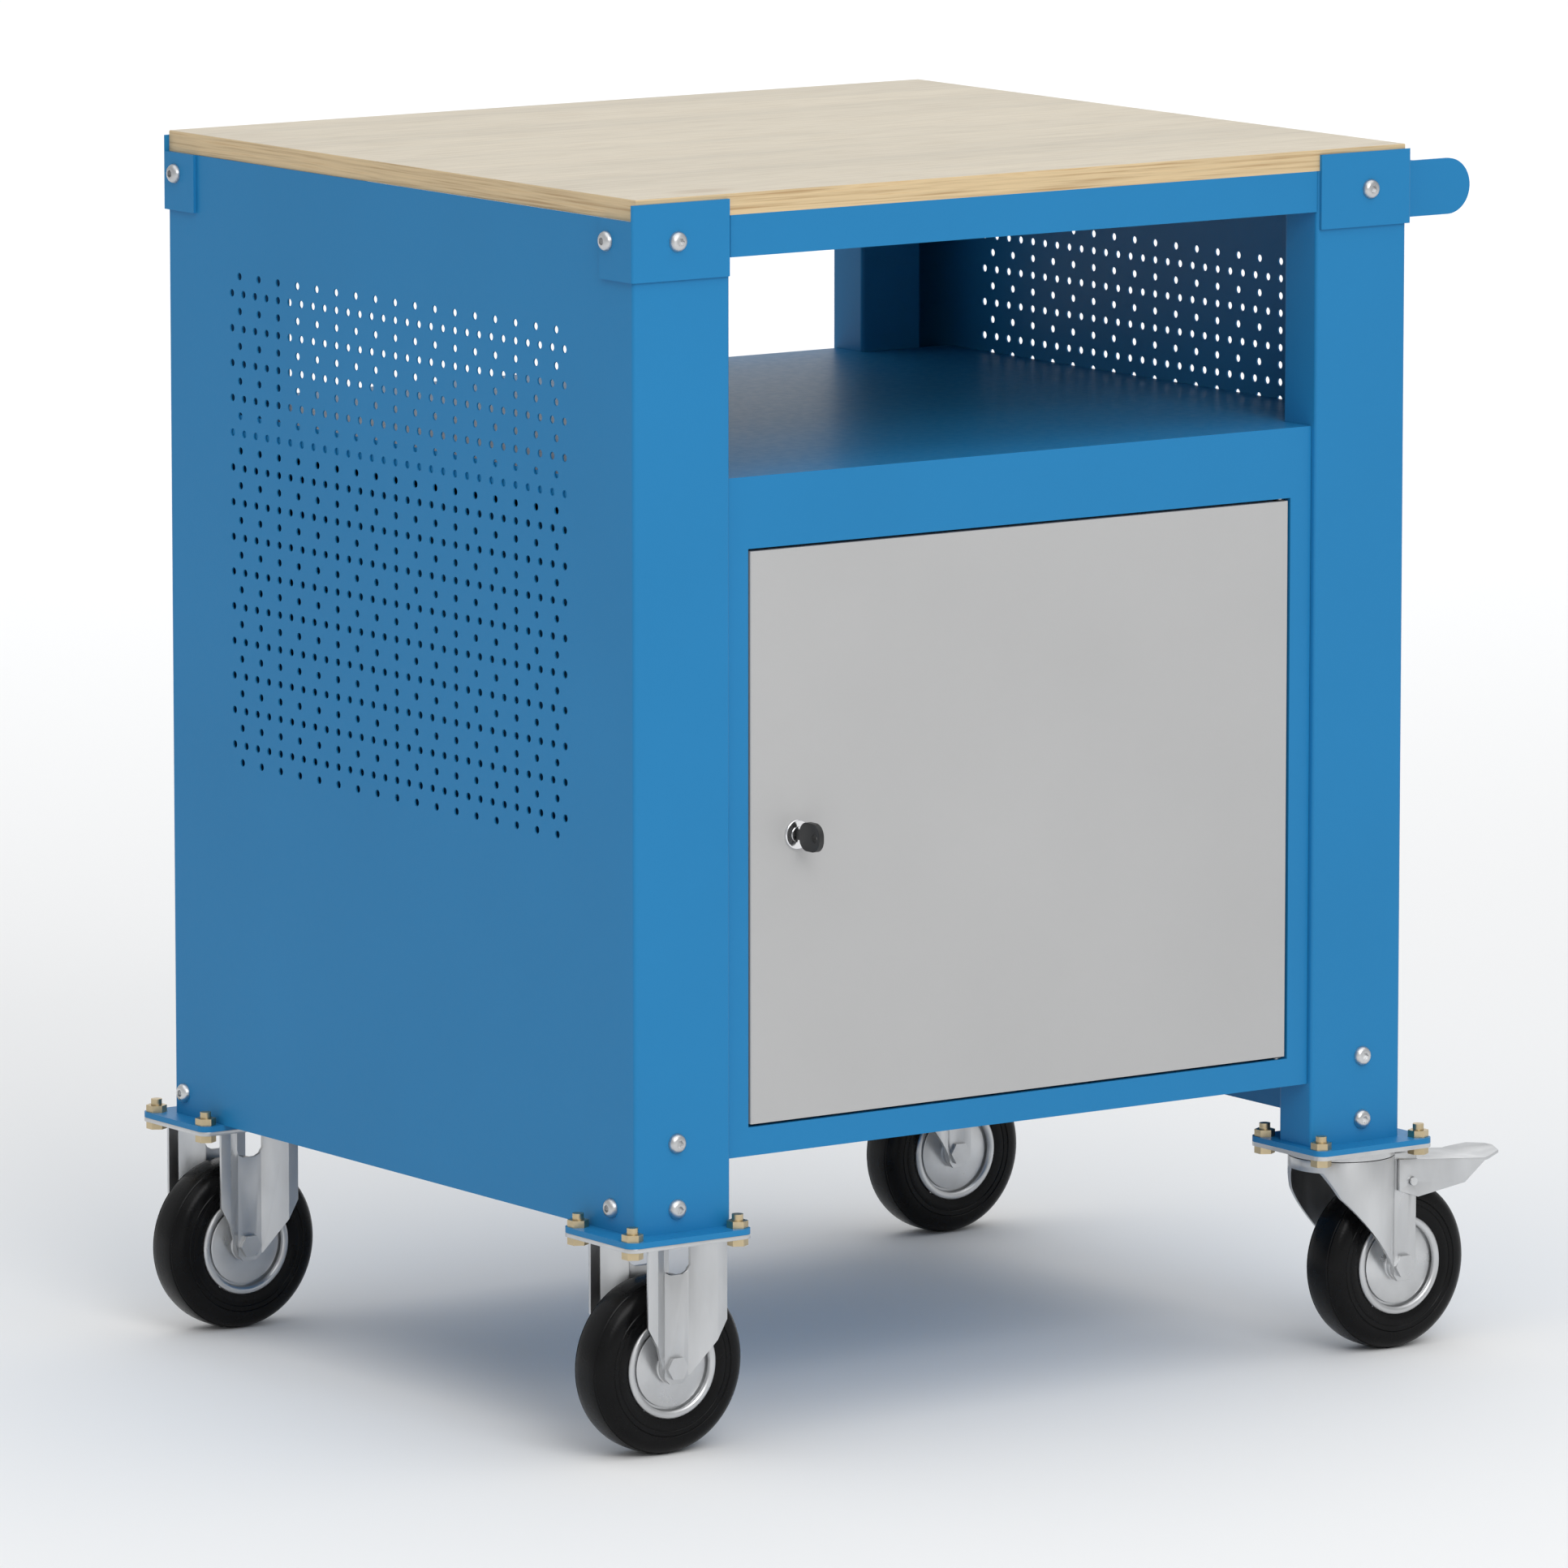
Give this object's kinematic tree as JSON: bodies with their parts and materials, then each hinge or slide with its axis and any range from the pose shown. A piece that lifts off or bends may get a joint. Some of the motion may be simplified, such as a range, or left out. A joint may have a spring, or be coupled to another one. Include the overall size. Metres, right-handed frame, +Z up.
{
  "type": "workbench trolley",
  "caption": "Mobile workbench trolley: plywood top over an open compartment and a locked cupboard, perforated steel sides, push handle, castors.",
  "frame": {"origin": "on the floor, under the middle of the overall box", "axes": "+Z up, +X to the right along the front (towards the push handle), +Y from the door to the rear"},
  "size_m": [0.7944, 0.632, 0.873],
  "materials": {
    "blue_paint": "satin powder coat",
    "grey_paint": "satin powder coat",
    "plywood": "matt lacquered birch plywood",
    "zinc_steel": "bright zinc plating",
    "lock_chrome": "polished",
    "black_plastic": "fine satin",
    "tyre_rubber": "matt rubber"
  },
  "bodies": {
    "frame": {"worktop": "plywood", "left_side_panel": "blue_paint", "right_side_panel": "blue_paint", "front_left_bracket": "blue_paint", "rear_left_bracket": "blue_paint", "front_right_bracket": "blue_paint", "rear_right_bracket": "blue_paint", "front_top_rail": "blue_paint", "rear_top_rail": "blue_paint", "shelf": "blue_paint", "cupboard_left_wall": "blue_paint", "cupboard_right_wall": "blue_paint", "cupboard_floor": "blue_paint", "cupboard_back": "blue_paint", "inner_shelf": "blue_paint", "shelf_clips": "zinc_steel", "hinge_pins": "zinc_steel", "handle_front_plate": "blue_paint", "handle_rear_plate": "blue_paint", "handle_bar": "blue_paint", "corner_screws": "zinc_steel", "lower_screws": "zinc_steel", "castor_bolts": "zinc_steel", "castor_nuts": "zinc_steel", "fixed_axles": "zinc_steel", "kingpins": "zinc_steel", "castor_balls": "zinc_steel", "front_left_castor_mount": "blue_paint", "front_left_fork": "zinc_steel", "rear_left_castor_mount": "blue_paint", "rear_left_fork": "zinc_steel", "front_right_castor_mount": "blue_paint", "rear_right_castor_mount": "blue_paint", "front_right_top_plate": "zinc_steel", "rear_right_top_plate": "zinc_steel"},
    "door": {"door_panel": "grey_paint", "door_stiffener": "grey_paint", "hinge_bushes": "black_plastic", "lock_body": "lock_chrome", "lock_nut": "lock_chrome"},
    "lock": {"lock_plug": "lock_chrome", "lock_cam": "zinc_steel"},
    "key": {"key": "black_plastic"},
    "front_left_wheel": {"front_left_rim": "zinc_steel", "front_left_tyre": "tyre_rubber"},
    "rear_left_wheel": {"rear_left_rim": "zinc_steel", "rear_left_tyre": "tyre_rubber"},
    "front_right_wheel": {"front_right_rim": "zinc_steel", "front_right_tyre": "tyre_rubber"},
    "rear_right_wheel": {"rear_right_rim": "zinc_steel", "rear_right_tyre": "tyre_rubber"},
    "front_right_swivel": {"front_right_fork": "zinc_steel", "front_right_axle": "zinc_steel", "front_right_brake_pin": "zinc_steel"},
    "front_right_brake": {"front_right_brake_pedal": "zinc_steel"},
    "rear_right_swivel": {"rear_right_fork": "zinc_steel", "rear_right_axle": "zinc_steel", "rear_right_brake_pin": "zinc_steel"},
    "rear_right_brake": {"rear_right_brake_pedal": "zinc_steel"}
  },
  "joints": [
    {"name": "door_hinge", "type": "hinge", "parent": "frame", "child": "door", "pos_m": [0.19145, -0.285, 0.425], "axis": [0, 0, 1], "range_deg": [0, 110]},
    {"name": "lock_turn", "type": "hinge", "parent": "door", "child": "lock", "pos_m": [-0.22995, -0.289, 0.425], "axis": [0, 1, 0], "range_deg": [0, 90]},
    {"name": "key_withdraw", "type": "slide", "parent": "lock", "child": "key", "axis": [0, -1, 0], "range_m": [0, 0.03]},
    {"name": "front_left_wheel_spin", "type": "hinge", "parent": "frame", "child": "front_left_wheel", "pos_m": [-0.33475, -0.271, 0.0625], "axis": [0, 1, 0], "continuous": true},
    {"name": "rear_left_wheel_spin", "type": "hinge", "parent": "frame", "child": "rear_left_wheel", "pos_m": [-0.33475, 0.271, 0.0625], "axis": [0, 1, 0], "continuous": true},
    {"name": "front_right_swivel_turn", "type": "hinge", "parent": "frame", "child": "front_right_swivel", "pos_m": [0.26225, -0.271, 0.1], "axis": [0, 0, 1], "continuous": true},
    {"name": "front_right_wheel_spin", "type": "hinge", "parent": "front_right_swivel", "child": "front_right_wheel", "pos_m": [0.30225, -0.271, 0.0625], "axis": [0, 1, 0], "continuous": true},
    {"name": "front_right_brake_press", "type": "hinge", "parent": "front_right_swivel", "child": "front_right_brake", "pos_m": [0.30825, -0.271, 0.124], "axis": [0, 1, 0], "range_deg": [0, 10]},
    {"name": "rear_right_swivel_turn", "type": "hinge", "parent": "frame", "child": "rear_right_swivel", "pos_m": [0.26225, 0.271, 0.1], "axis": [0, 0, 1], "continuous": true},
    {"name": "rear_right_wheel_spin", "type": "hinge", "parent": "rear_right_swivel", "child": "rear_right_wheel", "pos_m": [0.30225, 0.271, 0.0625], "axis": [0, 1, 0], "continuous": true},
    {"name": "rear_right_brake_press", "type": "hinge", "parent": "rear_right_swivel", "child": "rear_right_brake", "pos_m": [0.30825, 0.271, 0.124], "axis": [0, 1, 0], "range_deg": [0, 10]}
  ]
}
